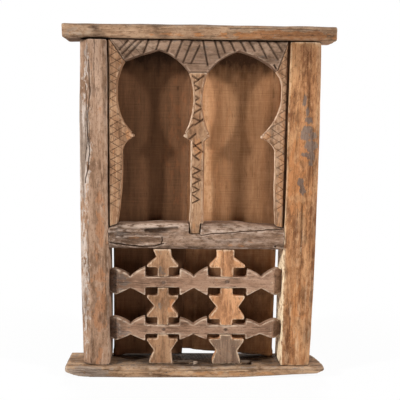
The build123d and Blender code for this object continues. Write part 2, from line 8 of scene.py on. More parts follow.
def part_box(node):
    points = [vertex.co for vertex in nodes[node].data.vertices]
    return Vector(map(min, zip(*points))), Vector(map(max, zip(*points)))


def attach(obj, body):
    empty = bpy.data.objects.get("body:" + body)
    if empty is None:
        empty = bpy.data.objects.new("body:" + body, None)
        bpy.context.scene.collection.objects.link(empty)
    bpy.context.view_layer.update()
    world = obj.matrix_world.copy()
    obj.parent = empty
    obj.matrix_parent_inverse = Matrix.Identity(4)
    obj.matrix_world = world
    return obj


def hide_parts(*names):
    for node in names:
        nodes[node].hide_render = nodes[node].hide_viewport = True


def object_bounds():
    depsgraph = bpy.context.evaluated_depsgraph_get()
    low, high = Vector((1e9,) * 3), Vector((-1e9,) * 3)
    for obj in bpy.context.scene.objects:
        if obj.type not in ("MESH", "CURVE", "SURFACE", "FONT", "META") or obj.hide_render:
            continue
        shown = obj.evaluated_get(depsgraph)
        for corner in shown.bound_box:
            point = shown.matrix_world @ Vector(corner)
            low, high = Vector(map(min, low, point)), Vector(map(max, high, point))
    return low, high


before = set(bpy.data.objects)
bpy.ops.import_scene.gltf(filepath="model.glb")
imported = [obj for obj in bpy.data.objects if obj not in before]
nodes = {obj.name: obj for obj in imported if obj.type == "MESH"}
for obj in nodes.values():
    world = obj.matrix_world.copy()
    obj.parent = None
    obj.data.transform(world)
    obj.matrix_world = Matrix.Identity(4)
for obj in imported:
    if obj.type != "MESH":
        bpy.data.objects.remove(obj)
cad_low, cad_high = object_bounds()
scene = bpy.context.scene

# Places and sizes of the wood are in millimetres, those of the scene around it in metres
MM = 0.001
X_AXIS, Y_AXIS, Z_AXIS = range(3)

# Camera, fitted to the photograph
CAMERA_PLACE = Vector((-25.5, -1287.2, 544.3)) * MM
CAMERA_PITCH = math.radians(7.661)
CAMERA_YAW = math.radians(1.423)
CAMERA_ROLL = math.radians(0.753)
SENSOR = 36.0
FOCAL_PIXELS = 624.0
FRAME_PIXELS = 400.0

# Lamps, all turned to one point: name, place, width, height and power in watts
LAMP_TARGET = Vector((0.0, 0.0, 0.4))
LAMPS = (
    ("left_softbox", (-3.0, -1.5, 1.7), 0.2, 0.5, 124.0),
    ("right_softbox", (3.0, -1.5, 1.7), 0.2, 0.5, 96.0),
    ("top_softbox", (0.0, -0.3, 2.3), 0.8, 0.8, 2.2),
    ("back_softbox", (0.0, 3.0, 1.6), 1.2, 1.0, 75.0))
AMBIENT_STRENGTH = 0.032

# Floor: its side, how far it lies under the sill, and where it turns from shadow to white
FLOOR_SIDE = 12.0
FLOOR_DROP = 0.5 * MM
SHADOW_SHARE = 0.06
SHADOW_REACH = 0.35
WHITE_REACH = 0.9

# Directions that a worked face looks in
FRONT = np.array((0.0, -1.0, 0.0))
BACK = np.array((0.0, 1.0, 0.0))
LEFT = np.array((-1.0, 0.0, 0.0))
RIGHT = np.array((1.0, 0.0, 0.0))
TOP = np.array((0.0, 0.0, 1.0))
BOTTOM = -TOP

# Marks that each vertex of a wooden piece carries for its material. The wear marks hold
# painted highlights as well as wear, and the dark marks painted shade as well as dirt
ATTRIBUTES = ("wear", "groove", "grey", "dark", "warm")

# Wood shader: how strongly noise adds to the stains, and how wide the edges of patches are
PATCH_GAIN = 1.8
WARM_EDGE = 0.14
GREY_EDGE = 0.12
# CORNER_REACH is how far the painted shade in the corners reaches
CORNER_REACH = 10.0
BUMP_DEPTH = 1.1

# Mesh work: every wooden piece is a dense copy of its solid, softened at its arrises
WELD_REACH = 0.001
SOFTENING_ROUNDS = 2
NOISE_SIDE = 32

# Cuts: the least cosine between a vertex's normal and the face that a cut is in, how far
# beyond a cut the mesh is refined, and the soot's reach as a share of the cut's width
CUT_COSINE = 0.35
SHARPEN_MARGINS = (1.6, 0.6)
SOOT_REACH = 0.85
SOOT_FULL = 1.2
CRACK_STEP = 9.0
CRACK_WAVER = 0.48
CHECK_MARGIN = 4.0
CHECK_SLANT = 1.5

# Tool facets: share of the depth that they swing, and the share that all of them sink.
# Ridges are the raised grain
FACET_SWING = 0.6
FACET_SINK = 0.1
RIDGE_CELL = (3.6, 50.0)

# Wear shows where a vertex stands proud of its softened surroundings, in shares of a voxel
WEAR_FROM = 0.07
WEAR_SPAN = 0.2
WEAR_ROUNDS = 6
WEAR_PULL = 0.6

# Stains and patches of painted shade and highlight: where they start to fade, how ragged their
# edges are, and how soon they end on a face that turns away. Crumbs break up the soot in the cuts
STAIN_FULL = 1.5
STAIN_RAGGED = 0.35
STAIN_CELL = (9.0, 22.0)
STAIN_TURN = 2.2
CRUMB_CELL = (6.0, 6.0, 6.0)
CRUMB_SHARE = 0.25

# Steps from a piece's seed to the seeds of its own draws
CHECK_SEED = 77
RIDGE_SEED = 9
SOOT_SEED = 5
STAIN_SEED = 31


def make_camera():
    """Camera at the photograph's place, from its fitted pitch, yaw and roll."""
    data = bpy.data.cameras.new("camera")
    data.sensor_width = SENSOR
    data.lens = SENSOR * FOCAL_PIXELS / FRAME_PIXELS
    data.clip_start = 0.05
    data.clip_end = 50.0
    camera = bpy.data.objects.new("camera", data)
    scene.collection.objects.link(camera)
    forward = Vector((math.sin(CAMERA_YAW) * math.cos(CAMERA_PITCH),
                      math.cos(CAMERA_YAW) * math.cos(CAMERA_PITCH), -math.sin(CAMERA_PITCH)))
    level = Vector((math.cos(CAMERA_YAW), -math.sin(CAMERA_YAW), 0.0))
    up = level.cross(forward)
    right = math.cos(CAMERA_ROLL) * level + math.sin(CAMERA_ROLL) * up
    over = -math.sin(CAMERA_ROLL) * level + math.cos(CAMERA_ROLL) * up
    turn = Matrix((right, over, -forward)).transposed()
    camera.matrix_world = Matrix.Translation(CAMERA_PLACE) @ turn.to_4x4()
    scene.camera = camera


def make_lamp(name, place, width, height, power):
    """Oblong area lamp at a place, turned towards the middle of the screen."""
    data = bpy.data.lights.new(name, "AREA")
    data.shape = "RECTANGLE"
    data.size = width
    data.size_y = height
    data.energy = power
    lamp = bpy.data.objects.new(name, data)
    lamp.location = place
    aim = LAMP_TARGET - Vector(place)
    lamp.rotation_euler = aim.to_track_quat("-Z", "Y").to_euler()
    scene.collection.objects.link(lamp)


class Shade:
    """Short calls for the nodes of one material or world."""

    def __init__(self, tree):
        self.tree = tree
        self.coordinates = None

    def node(self, kind, **settings):
        made = self.tree.nodes.new(kind)
        for name, value in settings.items():
            setattr(made, name, value)
        return made

    def feed(self, socket, value):
        """Links a socket to another, or sets its number or colour."""
        if isinstance(value, bpy.types.NodeSocket):
            self.tree.links.new(value, socket)
        else:
            socket.default_value = value

    def math(self, operation, first, second=0.0, third=0.0, clamp=False):
        made = self.node("ShaderNodeMath", operation=operation, use_clamp=clamp)
        for socket, value in zip(made.inputs, (first, second, third)):
            self.feed(socket, value)
        return made.outputs[0]

    def weighted(self, *terms):
        """Sum of values, each times its own weight."""
        value, weight = terms[0]
        total = self.math("MULTIPLY", value, weight)
        for value, weight in terms[1:]:
            total = self.math("MULTIPLY_ADD", value, weight, total)
        return total

    def blend(self, amount, first, second):
        """Colour between first and second, by an amount from 0 to 1."""
        made = self.node("ShaderNodeMix", data_type="RGBA", blend_type="MIX")
        self.feed(made.inputs[0], amount)
        self.feed(made.inputs[6], first)
        self.feed(made.inputs[7], second)
        return made.outputs[2]

    def lay(self, ground, mask, share, tone):
        """Lays a tone over the ground: at most the share of it, where the mask is 1."""
        return self.blend(self.math("MULTIPLY", mask, share), ground, tone)

    def noise(self, scales, detail, roughness, offset, twist=0.0):
        """Noise from 0 to 1 in cells of 1/scales metres, moved by an uneven offset."""
        if self.coordinates is None:
            self.coordinates = self.node("ShaderNodeTexCoord").outputs["Object"]
        place = self.node("ShaderNodeMapping")
        self.feed(place.inputs["Vector"], self.coordinates)
        place.inputs["Location"].default_value = (offset, offset * 0.7, offset * 1.3)
        place.inputs["Scale"].default_value = scales
        made = self.node("ShaderNodeTexNoise")
        self.feed(made.inputs["Vector"], place.outputs[0])
        made.inputs["Scale"].default_value = 1.0
        made.inputs["Detail"].default_value = detail
        made.inputs["Roughness"].default_value = roughness
        made.inputs["Distortion"].default_value = twist
        return made.outputs["Fac"]

    def step(self, value, none, full):
        """Mask that rises smoothly from 0 at one level to 1 at another, above or below it."""
        made = self.node("ShaderNodeMapRange", interpolation_type="SMOOTHSTEP")
        self.feed(made.inputs["Value"], value)
        made.inputs["From Min"].default_value = none
        made.inputs["From Max"].default_value = full
        return made.outputs["Result"]

    def attribute(self, name):
        return self.node("ShaderNodeAttribute", attribute_name=name).outputs["Fac"]

    def seen_straight(self):
        """1 for camera, glossy and transmission rays, and 0 for the rays that light the scene."""
        path = self.node("ShaderNodeLightPath")
        seen = self.math("MAXIMUM", path.outputs["Is Camera Ray"], path.outputs["Is Glossy Ray"])
        return self.math("MAXIMUM", seen, path.outputs["Is Transmission Ray"])


def make_world():
    """White backdrop for camera, glossy and transmission rays, soft ambient light for the rest."""
    world = bpy.data.worlds.new("world")
    scene.world = world
    world.use_nodes = True
    shade = Shade(world.node_tree)
    shade.tree.nodes.clear()
    output = shade.node("ShaderNodeOutputWorld")
    background = shade.node("ShaderNodeBackground")
    background.inputs["Color"].default_value = (1.0, 1.0, 1.0, 1.0)
    strength = shade.node("ShaderNodeMapRange")
    strength.inputs["To Min"].default_value = AMBIENT_STRENGTH
    strength.inputs["To Max"].default_value = 1.0
    shade.feed(strength.inputs["Value"], shade.seen_straight())
    shade.feed(background.inputs["Strength"], strength.outputs["Result"])
    shade.feed(output.inputs[0], background.outputs[0])


def floor_material():
    """Pale paint that a glow turns nearly white to the camera, and quite white further out."""
    material = bpy.data.materials.new("floor_paint")
    material.use_nodes = True
    shade = Shade(material.node_tree)
    paint = shade.tree.nodes["Principled BSDF"]
    paint.inputs["Base Color"].default_value = (0.9, 0.9, 0.9, 1.0)
    paint.inputs["Roughness"].default_value = 0.9
    paint.inputs["Specular IOR Level"].default_value = 0.0
    glow = shade.node("ShaderNodeEmission")
    glow.inputs["Strength"].default_value = 1.0
    distance = shade.node("ShaderNodeVectorMath", operation="LENGTH")
    shade.feed(distance.inputs[0], shade.node("ShaderNodeTexCoord").outputs["Object"])
    far = shade.step(distance.outputs["Value"], SHADOW_REACH, WHITE_REACH)
    whitening = shade.math("MULTIPLY_ADD", far, SHADOW_SHARE, 1.0 - SHADOW_SHARE)
    mixer = shade.node("ShaderNodeMixShader")
    shade.feed(mixer.inputs[0], shade.math("MULTIPLY", shade.seen_straight(), whitening))
    shade.feed(mixer.inputs[1], paint.outputs[0])
    shade.feed(mixer.inputs[2], glow.outputs[0])
    shade.feed(shade.tree.nodes["Material Output"].inputs[0], mixer.outputs[0])
    return material


def make_floor():
    """White floor under the sill, which still takes a little of the shadow."""
    bpy.ops.mesh.primitive_plane_add(size=FLOOR_SIDE, location=(0.0, 0.0, -FLOOR_DROP))
    floor = bpy.context.object
    floor.name = "floor"
    floor.data.materials.append(floor_material())


def colour(red, green, blue):
    """Linear colour from a screen colour of 0 to 255, by the sRGB curve."""
    def linear(part):
        part = part / 255.0
        return part / 12.92 if part <= 0.04045 else ((part + 0.055) / 1.055) ** 2.4
    return (linear(red), linear(green), linear(blue), 1.0)


def wood_material(name, along, tones, grey_from=1.14, warm_from=1.12, marks=1.0, sawn=False):
    """Old hewn wood, coloured by its grain, by patches and by the marks on its vertices.
    along is the grain's axis. Grey and warm patches come by themselves where noise passes
    a level, grey_from or warm_from, and the piece's own stains bring them on elsewhere.
    marks is how strongly pits, threads and mottling show, and a sawn board has faint saw
    strokes across its grain."""
    material = bpy.data.materials.new(name)
    material.use_nodes = True
    shade = Shade(material.node_tree)
    paint = shade.tree.nodes["Principled BSDF"]

    def grain(across_mm, along_mm, detail, roughness, offset, twist=0.0):
        """Noise in cells that are longer along the grain."""
        scales = [1.0 / (across_mm * MM)] * 3
        scales[along] = 1.0 / (along_mm * MM)
        return shade.noise(scales, detail, roughness, offset, twist)

    fine = grain(1.7, 30.0, detail=4.0, roughness=0.65, offset=3.1, twist=0.4)
    middle = grain(4.4, 60.0, detail=3.0, roughness=0.6, offset=7.7, twist=0.9)
    broad = grain(16.0, 170.0, detail=2.0, roughness=0.5, offset=12.1, twist=0.5)
    mottle = grain(7.0, 14.0, detail=5.0, roughness=0.68, offset=1.9)
    patches = grain(11.0, 26.0, detail=5.0, roughness=0.68, offset=31.7)
    specks = grain(2.4, 5.0, detail=2.0, roughness=0.6, offset=5.3)
    splits = grain(5.0, 150.0, detail=2.0, roughness=0.5, offset=17.9, twist=1.2)
    clouds = grain(30.0, 75.0, detail=4.0, roughness=0.62, offset=47.3)

    # Fibres: dark and light ones in the body colour
    figure = shade.weighted((broad, 0.45), (middle, 0.3), (fine, 0.25))
    ground = shade.blend(shade.step(figure, 0.38, 0.5), tones["dark"], tones["body"])
    ground = shade.blend(shade.step(figure, 0.5, 0.64), ground, tones["light"])

    # Mottling and saw strokes: field, levels where it starts and is full, share and tone
    layers = [(clouds, 0.5, 0.38, 0.55 * marks, "dark"), (clouds, 0.5, 0.62, 0.4 * marks, "light"),
              (mottle, 0.48, 0.36, 0.45 * marks, "dark"), (mottle, 0.52, 0.66, 0.4 * marks, "light")]
    if sawn:
        strokes = shade.noise((12.0, 12.0, 420.0), detail=4.0, roughness=0.7, offset=61.3)
        layers += [(strokes, 0.5, 0.36, 0.4, "dark"), (strokes, 0.52, 0.66, 0.4, "light")]
    for field, none, full, share, tone in layers:
        ground = shade.lay(ground, shade.step(field, none, full), share, tones[tone])

    # Warm, grey and dark patches, by noise and by the piece's stains; the dark ones are dirt and knots,
    # and painted shade
    warm_field = shade.math("MULTIPLY_ADD", patches, PATCH_GAIN, shade.attribute("warm"))
    warmed = shade.step(warm_field, warm_from, warm_from + WARM_EDGE)
    ground = shade.lay(ground, warmed, 0.7 * marks, tones["warm"])
    grey_field = shade.math("MULTIPLY_ADD", mottle, PATCH_GAIN, shade.attribute("grey"))
    bare = shade.step(grey_field, grey_from, grey_from + GREY_EDGE)
    greyed = shade.blend(shade.step(figure, 0.44, 0.56), tones["grey_dark"], tones["grey"])
    ground = shade.lay(ground, bare, 0.9, greyed)
    # Dark marks: dirt and knots, and painted shade where the pieces put it
    uneven = shade.math("MULTIPLY_ADD", patches, 0.9, 0.55)
    darkening = shade.math("MULTIPLY", shade.attribute("dark"), uneven, clamp=True)
    ground = shade.lay(ground, darkening, 0.9, tones["deep"])

    # Pits, specks and threads, and then wear and painted highlights, soot in the grooves and painted
    # shade in the corners
    pits = shade.step(specks, 0.61, 0.69)
    ground = shade.lay(ground, pits, min(0.6 * marks, 1.0), tones["dark"])
    ground = shade.lay(ground, shade.step(specks, 0.38, 0.3), 0.35 * marks, tones["light"])
    thread = shade.math("ABSOLUTE", shade.math("SUBTRACT", splits, 0.5))
    thread = shade.math("MULTIPLY", shade.step(thread, 0.022, 0.0), shade.step(patches, 0.48, 0.55))
    ground = shade.lay(ground, thread, min(0.7 * marks, 1.0), tones["deep"])
    # Pale wear, and painted highlights where the pieces put them
    pale_wear_and_highlight = shade.math("MULTIPLY", shade.attribute("wear"), shade.step(mottle, 0.36, 0.56))
    ground = shade.lay(ground, pale_wear_and_highlight, 0.75, tones["pale"])
    ground = shade.lay(ground, shade.attribute("groove"), 0.85, tones["deep"])
    # Painted shade: ambient occlusion darkens the corners and creases
    corners = shade.node("ShaderNodeAmbientOcclusion", samples=6)
    corners.inputs["Distance"].default_value = CORNER_REACH * MM
    ground = shade.lay(ground, shade.step(corners.outputs["AO"], 0.75, 0.25), 0.5, tones["deep"])
    shade.feed(paint.inputs["Base Color"], ground)

    # Dull surface, with its fibres, pits and threads in relief
    shade.feed(paint.inputs["Roughness"], shade.math("MULTIPLY_ADD", mottle, 0.3, 0.66))
    paint.inputs["Specular IOR Level"].default_value = 0.08
    bump = shade.node("ShaderNodeBump")
    bump.inputs["Strength"].default_value = min(0.7 * marks, 1.0)
    bump.inputs["Distance"].default_value = BUMP_DEPTH * MM
    height = shade.weighted((middle, 0.5), (fine, 0.6), (pits, -0.35), (thread, -0.8))
    shade.feed(bump.inputs["Height"], height)
    shade.feed(paint.inputs["Normal"], bump.outputs[0])
    return material


def value_noise(points, cell, seed):
    """Smooth seeded noise from -1 to 1 at points in millimetres, in cells of three sizes."""
    table = np.random.default_rng(seed).uniform(-1.0, 1.0, (NOISE_SIDE,) * 3)
    place = points / cell
    whole = np.floor(place).astype(int)
    part = place - whole
    part = part * part * (3.0 - 2.0 * part)
    total = np.zeros(len(points))
    for corner in np.ndindex(2, 2, 2):
        index = (whole + corner) % NOISE_SIDE
        weight = np.prod(np.where(corner, part, 1.0 - part), axis=1)
        total += weight * table[index[:, 0], index[:, 1], index[:, 2]]
    return total


def layered_noise(points, cell, seed, layers=2):
    """Sum of noises, each with half the size and half the strength of the one before."""
    total = np.zeros(len(points))
    for layer in range(layers):
        total += 0.5 ** layer * value_noise(points, np.asarray(cell) / 2.0 ** layer, seed + layer)
    return total / (2.0 - 0.5 ** (layers - 1))


def read(items, key, kind=np.float32, width=3):
    """What the items of a mesh hold under one key, as a row for each."""
    flat = np.empty(len(items) * width, kind)
    items.foreach_get(key, flat)
    return flat.reshape(-1, width)


def read_points(mesh):
    return read(mesh.vertices, "co").astype(float) / MM


def read_normals(mesh):
    return read(mesh.vertex_normals, "vector").astype(float)


def read_edges(mesh):
    return read(mesh.edges, "vertices", np.int32, 2)


def write_points(mesh, points):
    mesh.vertices.foreach_set("co", (points * MM).astype(np.float32).ravel())
    mesh.update()


def softened(points, edges, rounds, amount=0.5):
    """Points moved towards the middle of their neighbours."""
    number = len(points)
    count = np.bincount(edges.ravel(), minlength=number)[:, None]
    for _ in range(rounds):
        total = np.empty_like(points)
        for axis in range(3):
            total[:, axis] = (np.bincount(edges[:, 0], points[edges[:, 1], axis], number)
                              + np.bincount(edges[:, 1], points[edges[:, 0], axis], number))
        points = points + amount * (total / count - points)
    return points


def dense_piece(node, voxel):
    """Fine-meshed copy of a CAD node with slightly rounded arrises."""
    piece = bpy.data.objects.new(node + "_wood", nodes[node].data.copy())
    scene.collection.objects.link(piece)
    form = bmesh.new()
    form.from_mesh(piece.data)
    bmesh.ops.remove_doubles(form, verts=form.verts, dist=WELD_REACH * MM)
    form.to_mesh(piece.data)
    form.free()
    remesh = piece.modifiers.new("remesh", "REMESH")
    remesh.mode = "VOXEL"
    remesh.voxel_size = voxel * MM
    graph = bpy.context.evaluated_depsgraph_get()
    fine = bpy.data.meshes.new_from_object(piece.evaluated_get(graph))
    piece.modifiers.clear()
    coarse = piece.data
    piece.data = fine
    bpy.data.meshes.remove(coarse)
    write_points(fine, softened(read_points(fine), read_edges(fine), SOFTENING_ROUNDS))
    return piece


def face_plane(facing):
    """The two axes that span the faces which look in a direction."""
    return [axis for axis in range(3) if abs(facing[axis]) < 0.5]


def line_distance(points, facing, path):
    """Distance of each point from a path of corners, seen square to the face."""
    flat = points[:, face_plane(facing)]
    nearest = np.full(len(points), np.inf)
    for start, end in zip(path[:-1], path[1:]):
        run = np.asarray(end, float) - start
        share = np.clip(((flat - start) @ run) / (run @ run), 0.0, 1.0)
        nearest = np.minimum(nearest, np.linalg.norm(flat - start - share[:, None] * run, axis=1))
    return nearest


def refine(mesh, marked):
    """Divides each edge between two marked vertices."""
    form = bmesh.new()
    form.from_mesh(mesh)
    near = [edge for edge in form.edges if marked[edge.verts[0].index] and marked[edge.verts[1].index]]
    bmesh.ops.subdivide_edges(form, edges=near, cuts=1, use_grid_fill=True)
    large = [face for face in form.faces if len(face.verts) > 4]
    bmesh.ops.triangulate(form, faces=large)
    form.to_mesh(mesh)
    form.free()


def each(action, *rows):
    """Does an action once for each row of its values."""
    for row in rows:
        action(*row)


class Timber:
    """One wooden piece while it is worked: hewn, cut, stained and given painted shade and highlights,
    and then finished.
    """

    def __init__(self, node, along, seed, voxel):
        self.node = node
        self.along = along
        self.seed = seed
        self.voxel = voxel
        self.piece = dense_piece(node, voxel)
        self.mesh = self.piece.data
        low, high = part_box(node)
        self.low = np.array(low) / MM
        self.high = np.array(high) / MM
        self.cuts = []
        self.planned_patches = {name: [] for name in ATTRIBUTES}

    def cell(self, across, along):
        """Noise cell that is longer along the grain."""
        size = [across] * 3
        size[self.along] = along
        return size

    def cut(self, facing, path, width, depth, soot=1.0):
        """Plans a V groove or a crack along a path on one face. width is half its breadth."""
        self.cuts.append((facing, path, width, depth, soot))

    def crack(self, facing, path, width, depth):
        """Plans a crack that wavers about a path."""
        draw = np.random.default_rng(self.seed + len(self.cuts))
        path = np.asarray(path, float)
        fine = [path[0]]
        for start, end in zip(path[:-1], path[1:]):
            parts = max(2, int(np.linalg.norm(end - start) / CRACK_STEP))
            for part in range(1, parts + 1):
                fine.append(start + (end - start) * part / parts + draw.normal(0.0, CRACK_WAVER, 2))
        self.cut(facing, fine, width, depth)

    def checks(self, facing, number, length, width=0.9, depth=1.6):
        """Plans short drying cracks along the grain, at seeded places on one face."""
        draw = np.random.default_rng(self.seed + CHECK_SEED)
        axes = face_plane(facing)
        run = axes.index(self.along)
        for _ in range(number):
            start = draw.uniform(self.low[axes] + CHECK_MARGIN, self.high[axes] - CHECK_MARGIN)
            end = start.copy()
            end[run] += draw.uniform(0.4, 1.0) * length
            end[1 - run] += draw.normal(0.0, CHECK_SLANT)
            self.crack(facing, [start, end], width, depth * draw.uniform(0.5, 1.0))

    def stain_and_paint_light(self, name, place, reach, strength, facing=FRONT):
        """Plans a soft patch of one attribute, a stain or a painted shade or highlight, by its middle
        and half sizes along the two axes of the face."""
        self.planned_patches[name].append((facing, place, reach, strength))

    def dent(self, place, reach, push):
        """Moves the surface near a place by a vector, most at its middle."""
        points = read_points(self.mesh)
        away = np.linalg.norm((points - place) / reach, axis=1)
        share = np.clip(1.0 - away ** 2, 0.0, 1.0)
        write_points(self.mesh, points + share[:, None] * push)

    def hew(self, depth, across, along, ridges=0.25):
        """Tool facets and raised grain, a little more inwards than outwards."""
        self.sharpen()
        points = read_points(self.mesh)
        normals = read_normals(self.mesh)
        facets = layered_noise(points, self.cell(across, along), self.seed)
        fibres = layered_noise(points, self.cell(*RIDGE_CELL), self.seed + RIDGE_SEED)
        shift = depth * (FACET_SWING * facets - FACET_SINK) + ridges * fibres
        write_points(self.mesh, points + normals * shift[:, None])

    def bend(self, axis, by, profile, over, start, end):
        """Moves points along an axis by a profile over another axis, growing from none at
        the start to all of it at the end of a stretch over a third one."""
        points = read_points(self.mesh)
        share = np.clip((points[:, over] - start) / (end - start), 0.0, 1.0)
        stations = [station for station, _ in profile]
        moves = [move for _, move in profile]
        points[:, axis] += share * np.interp(points[:, by], stations, moves)
        write_points(self.mesh, points)

    def each_cut(self, points, normals):
        """Each planned cut, with the vertices on its face and their distances from its path."""
        for cut in self.cuts:
            facing, path = cut[:2]
            near = np.flatnonzero(normals @ facing > CUT_COSINE)
            yield cut, near, line_distance(points[near], facing, path)

    def sharpen(self):
        """Gives the mesh finer faces where cuts are planned, twice, the second time nearer to them."""
        for margin in SHARPEN_MARGINS:
            points = read_points(self.mesh)
            normals = read_normals(self.mesh)
            marked = np.zeros(len(points), bool)
            for (_, _, width, _, _), near, distance in self.each_cut(points, normals):
                marked[near[distance < width + margin]] = True
            if marked.any():
                refine(self.mesh, marked)

    def carve(self):
        """Sinks the planned cuts and returns how sooty each vertex is in them, 0 to 1."""
        points = read_points(self.mesh)
        normals = read_normals(self.mesh)
        blackness = np.zeros(len(points))
        for (facing, _, width, depth, soot), near, distance in self.each_cut(points, normals):
            inside = np.clip(1.0 - distance / width, 0.0, 1.0)
            points[near] -= facing * (depth * inside)[:, None]
            darkening = soot * np.clip(SOOT_FULL - distance / (SOOT_REACH * width), 0.0, 1.0)
            blackness[near] = np.maximum(blackness[near], darkening)
        write_points(self.mesh, points)
        return blackness

    def finish(self, material, slot, wear_gain=1.0):
        """Carves the cuts, keeps the piece in the CAD model's box, marks wear, stains, painted shade
        and painted highlights on its vertices, and hands it to the frame."""
        blackness = self.carve()
        points = np.clip(read_points(self.mesh), np.array(cad_low) / MM, np.array(cad_high) / MM)
        write_points(self.mesh, points)
        normals = read_normals(self.mesh)
        smooth = softened(points, read_edges(self.mesh), WEAR_ROUNDS, WEAR_PULL)
        proud = ((points - smooth) * normals).sum(axis=1)
        values = {name: np.zeros(len(points)) for name in ATTRIBUTES}
        values["wear"] = np.clip((proud / self.voxel - WEAR_FROM) / WEAR_SPAN * wear_gain, 0.0, 1.0)
        crumbs = layered_noise(points, CRUMB_CELL, self.seed + SOOT_SEED)
        values["groove"] = blackness * (1.0 - CRUMB_SHARE + CRUMB_SHARE * crumbs)
        ragged = layered_noise(points, self.cell(*STAIN_CELL), self.seed + STAIN_SEED, layers=3)
        for name, patches in self.planned_patches.items():
            for facing, place, reach, strength in patches:
                axes = face_plane(facing)
                away = np.linalg.norm((points[:, axes] - place) / reach, axis=1)
                fade = np.clip(STAIN_FULL - away + STAIN_RAGGED * ragged, 0.0, 1.0)
                fade = fade * np.clip(normals @ facing * STAIN_TURN, 0.0, 1.0) * strength
                values[name] = np.maximum(values[name], fade)
        for name in ATTRIBUTES:
            layer = self.mesh.attributes.new(name, "FLOAT", "POINT")
            layer.data.foreach_set("value", values[name].astype(np.float32))
        self.mesh.polygons.foreach_set("use_smooth", np.ones(len(self.mesh.polygons), bool))
        self.mesh.materials.clear()
        self.mesh.materials.append(material)
        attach(self.piece, "root")
        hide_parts(self.node)


def tone_set(*screen_colours):
    """The colours of one wood by the names in TONES, from as many screen colours."""
    return {name: colour(*value) for name, value in zip(TONES, screen_colours)}


# Colours of the woods, each set in this order
TONES = ("dark", "body", "light", "grey", "grey_dark", "warm", "pale", "deep")
BEAM_TONES = tone_set(
    (104, 79, 59), (158, 124, 96), (194, 160, 129), (150, 130, 114),
    (116, 98, 86), (176, 115, 67), (212, 182, 152), (66, 48, 38))
LEFT_POST_TONES = tone_set(
    (108, 80, 60), (160, 126, 101), (188, 156, 132), (200, 184, 172),
    (140, 122, 108), (176, 124, 88), (214, 194, 176), (62, 44, 34))
RIGHT_POST_TONES = tone_set(
    (112, 71, 45), (177, 125, 85), (214, 164, 118), (134, 116, 104),
    (108, 92, 82), (194, 130, 82), (250, 226, 190), (70, 46, 30))
RAIL_TONES = tone_set(
    (98, 74, 58), (146, 116, 94), (178, 150, 130), (150, 134, 122),
    (100, 86, 78), (178, 126, 86), (212, 188, 170), (52, 36, 26))
HEAD_TONES = tone_set(
    (96, 74, 58), (134, 106, 86), (162, 132, 110), (140, 124, 112),
    (104, 90, 80), (160, 118, 84), (206, 180, 156), (58, 42, 32))
JAMB_TONES = tone_set(
    (114, 83, 60), (161, 120, 89), (190, 152, 118), (146, 126, 110),
    (110, 94, 82), (186, 132, 90), (234, 206, 178), (60, 40, 28))
LEFT_BAR_TONES = tone_set(
    (112, 82, 60), (162, 120, 88), (186, 146, 112), (140, 124, 108),
    (108, 92, 80), (196, 132, 86), (226, 198, 170), (62, 42, 30))
RIGHT_BAR_TONES = tone_set(
    (142, 98, 68), (206, 149, 106), (226, 174, 130), (156, 132, 112),
    (120, 100, 86), (214, 146, 94), (236, 206, 174), (66, 44, 30))
LATTICE_RAIL_TONES = tone_set(
    (116, 88, 70), (163, 127, 103), (188, 153, 128), (146, 128, 116),
    (106, 92, 82), (184, 130, 92), (220, 196, 172), (58, 40, 30))
PEG_TONES = tone_set(
    (82, 66, 56), (106, 86, 74), (128, 106, 92), (112, 100, 92),
    (82, 72, 66), (116, 88, 70), (144, 126, 112), (44, 34, 28))
LEFT_LEAF_TONES = tone_set(
    (96, 67, 46), (112, 78, 54), (128, 90, 63), (104, 86, 70),
    (80, 64, 52), (142, 90, 58), (152, 118, 90), (40, 26, 18))
RIGHT_LEAF_TONES = tone_set(
    (160, 113, 76), (183, 133, 94), (202, 152, 110), (166, 130, 104),
    (132, 102, 82), (196, 136, 92), (226, 184, 142), (60, 38, 26))
SILL_TONES = tone_set(
    (98, 73, 53), (174, 138, 106), (212, 178, 144), (156, 138, 124),
    (102, 88, 78), (192, 142, 98), (208, 184, 162), (48, 36, 28))

# Right post: bare grey patches and dark spots, by X, Z, half width and half height
POST_GREY_PATCHES = (
    (212.5, 579, 4, 12), (219, 556, 4.5, 12), (222, 539, 9, 9), (221, 519, 14, 9),
    (216, 505, 11, 8), (229, 508, 10, 10), (228, 488, 14, 12), (217, 470, 9, 5),
    (230, 466, 8, 12), (228, 452, 5, 9), (208, 414, 6, 9), (213, 398, 6, 12))
POST_DARK_SPOTS = (
    (224.7, 295, 3, 9), (218, 248, 3, 12), (223, 180, 6, 16), (234, 92, 8, 26),
    (214, 340, 2.5, 40), (199, 500, 2, 20), (199, 545, 2.5, 16))

# Hollows in the middle rail's front: their Y, and then X, Z, half sizes in X, Y and Z, and depth
RAIL_FRONT = -32
RAIL_HOLLOWS = (
    (-110, 291, 56, 14, 9, 3.4), (-30, 296, 30, 14, 12, 2.4), (60, 301, 60, 14, 8, 2.4),
    (140, 297, 36, 14, 8, 2), (-178, 300, 14, 16, 12, 3))

# How far the middle rail's top, and what stands on it, drops beside each post
RAIL_END_DROP = (
    (-195, -8), (-178, -8), (-160, -1), (-128, -2), (-71, 0), (84, 0),
    (162, -5), (178, -7), (195, -7))

